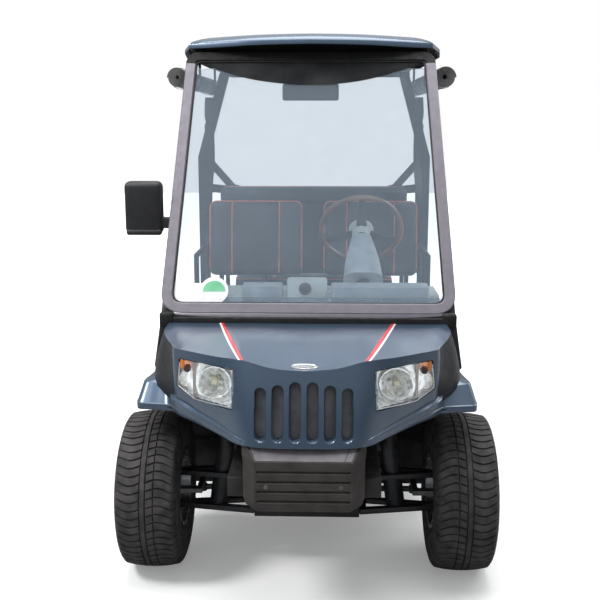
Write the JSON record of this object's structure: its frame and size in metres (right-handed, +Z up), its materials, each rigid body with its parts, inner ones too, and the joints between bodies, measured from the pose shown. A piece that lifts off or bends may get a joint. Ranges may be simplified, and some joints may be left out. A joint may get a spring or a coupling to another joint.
{
  "type": "four-seat electric golf cart",
  "caption": "Two-row electric golf cart with a canopy roof, framed windshield, folding rear seat and steered front wheels.",
  "frame": {"origin": "on the ground, midway between the axles and between the sides", "axes": "+Z up, -Y towards the cart's front, +X towards the driver's side"},
  "size_m": [1.237, 2.67, 1.7909],
  "materials": {
    "body_paint": "slate blue-grey metallic paint with a clear coat",
    "black_plastic": "black moulded plastic with a fine grain",
    "frame_black": "black powder coat on steel tube",
    "frame_satin": "satin grey powder coat on aluminium tube",
    "cast_grey": "dark cast and machined metal",
    "battery_case": "battery cases as one plain block",
    "floor_rubber": "ribbed rubber floor mat",
    "lamp_glass": "clear moulded lens over chromed bowls",
    "lamp_red": "red moulded lens",
    "dash_plastic": "light grey moulded plastic",
    "window_glass": "lightly tinted clear acrylic",
    "liner_black": "black roof lining and rails",
    "curtain_vinyl": "rolled dark vinyl side curtain",
    "seat_vinyl": "black grained vinyl with orange piping",
    "wheel_rim": "wood-look steering wheel with dark spokes",
    "tyre_rubber": "street tyre with ribs and shoulder blocks",
    "rim_alloy": "painted alloy wheel"
  },
  "bodies": {
    "chassis": {"frame_rails": "frame_black", "frame_crossmembers": "frame_black", "front_suspension": "frame_black", "steering_gear": "frame_black", "rear_axle": "cast_grey", "drive_motor": "cast_grey", "rear_suspension": "frame_black", "battery_pack": "battery_case", "floor_pan": "floor_rubber", "sill_panels": "black_plastic", "front_cowl": "body_paint", "grille_insert": "black_plastic", "headlamps": "lamp_glass", "front_fenders": "body_paint", "front_bumper": "black_plastic", "dash_panel": "dash_plastic", "windshield_frame": "frame_satin", "windshield_glass": "window_glass", "roof_shell": "body_paint", "roof_rails": "liner_black", "roof_struts": "frame_black", "mirrors": "black_plastic", "curtain_rolls": "curtain_vinyl", "seat_pod": "black_plastic", "rear_body": "body_paint", "rear_fenders": "body_paint", "front_seat_backs": "seat_vinyl", "seat_frame": "frame_black", "rear_seat_back": "seat_vinyl", "foot_deck": "frame_black", "pedals": "frame_black", "tail_lamps": "lamp_red"},
    "steering_wheel": {"steering_wheel": "wheel_rim"},
    "tie_rods": {"tie_rods": "cast_grey"},
    "knuckle_left": {"knuckle_left": "cast_grey"},
    "knuckle_right": {"knuckle_right": "cast_grey"},
    "front_seat": {"front_seat_cushion": "seat_vinyl"},
    "rear_seat": {"rear_seat_cushion": "seat_vinyl"},
    "wheel_front_left": {"tyre_front_left": "tyre_rubber", "rim_front_left": "rim_alloy"},
    "wheel_front_right": {"tyre_front_right": "tyre_rubber", "rim_front_right": "rim_alloy"},
    "wheel_rear_left": {"tyre_rear_left": "tyre_rubber", "rim_rear_left": "rim_alloy"},
    "wheel_rear_right": {"tyre_rear_right": "tyre_rubber", "rim_rear_right": "rim_alloy"}
  },
  "joints": [
    {"name": "steering_wheel_turn", "type": "hinge", "parent": "chassis", "child": "steering_wheel", "pos_m": [0.19, -0.325, 1.08], "axis": [0, 0.848, 0.5299], "range_deg": [-400, 400]},
    {"name": "steer_left", "type": "hinge", "parent": "chassis", "child": "knuckle_left", "pos_m": [0.45, -0.835, 0.26], "axis": [0, 0, 1], "range_deg": [-30, 30]},
    {"name": "steer_right", "type": "hinge", "parent": "chassis", "child": "knuckle_right", "pos_m": [-0.45, -0.835, 0.26], "axis": [0, 0, 1], "range_deg": [-30, 30]},
    {"name": "rack_slide", "type": "slide", "parent": "chassis", "child": "tie_rods", "axis": [1, 0, 0], "range_m": [-0.045, 0.045]},
    {"name": "wheel_front_left_spin", "type": "hinge", "parent": "knuckle_left", "child": "wheel_front_left", "pos_m": [0.5075, -0.835, 0.26], "axis": [1, 0, 0], "continuous": true},
    {"name": "wheel_front_right_spin", "type": "hinge", "parent": "knuckle_right", "child": "wheel_front_right", "pos_m": [-0.5075, -0.835, 0.26], "axis": [1, 0, 0], "continuous": true},
    {"name": "wheel_rear_left_spin", "type": "hinge", "parent": "chassis", "child": "wheel_rear_left", "pos_m": [0.5075, 0.835, 0.26], "axis": [1, 0, 0], "continuous": true},
    {"name": "wheel_rear_right_spin", "type": "hinge", "parent": "chassis", "child": "wheel_rear_right", "pos_m": [-0.5075, 0.835, 0.26], "axis": [1, 0, 0], "continuous": true},
    {"name": "front_seat_lift", "type": "hinge", "parent": "chassis", "child": "front_seat", "pos_m": [0, 0.21, 0.6403], "axis": [1, 0, 0], "range_deg": [-50, 0]},
    {"name": "rear_seat_flip", "type": "hinge", "parent": "chassis", "child": "rear_seat", "pos_m": [0, 0.8975, 0.64], "axis": [1, 0, 0], "range_deg": [-180, 0]}
  ],
  "couplings": [
    {"joint": "steer_left", "follows": "steering_wheel_turn", "ratio": 0.074993},
    {"joint": "steer_right", "follows": "steering_wheel_turn", "ratio": 0.074993},
    {"joint": "rack_slide", "follows": "steering_wheel_turn", "m_per_rad": -0.006445}
  ]
}
